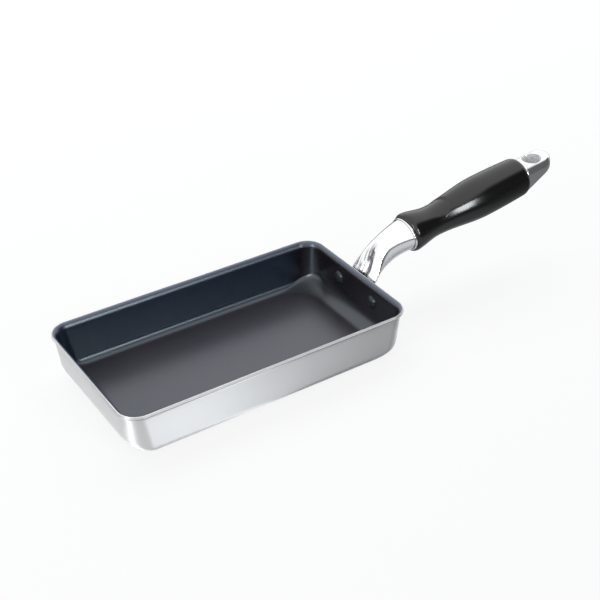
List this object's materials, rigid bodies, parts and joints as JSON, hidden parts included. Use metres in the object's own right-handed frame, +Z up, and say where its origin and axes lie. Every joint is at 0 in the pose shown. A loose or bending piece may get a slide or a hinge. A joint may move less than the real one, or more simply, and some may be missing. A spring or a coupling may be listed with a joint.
{
  "type": "tamagoyaki pan",
  "caption": "Rectangular rolled-omelette frying pan with a flared lip, riveted tubular neck, moulded grip and hanging loop.",
  "frame": {"origin": "centre of the pan's length and width on the flat underside, on the table", "axes": "+X along the pan towards the handle's end, +Y across the pan, +Z up"},
  "size_m": [0.3628, 0.112, 0.0785],
  "materials": {
    "pan_sheet": "satin metal outside and on the cut lip edge, dark blue-grey non-stick coating inside",
    "rivet_metal": "semi-gloss, darkened head",
    "polished_steel": "mirror-polished stainless steel",
    "plain_steel": "plain zinc-bright steel, hidden inside the handle",
    "grip_phenolic": "high-gloss black moulded phenolic"
  },
  "bodies": {
    "root": {"pan_body": "pan_sheet", "rivets": "rivet_metal", "neck": "polished_steel", "ferrule": "polished_steel", "neck_end_plate": "plain_steel", "grip": "grip_phenolic", "tie_screw": "plain_steel", "spring_washer": "plain_steel", "flat_washer": "plain_steel", "loop_nut": "plain_steel", "hanging_loop": "polished_steel"}
  },
  "joints": []
}
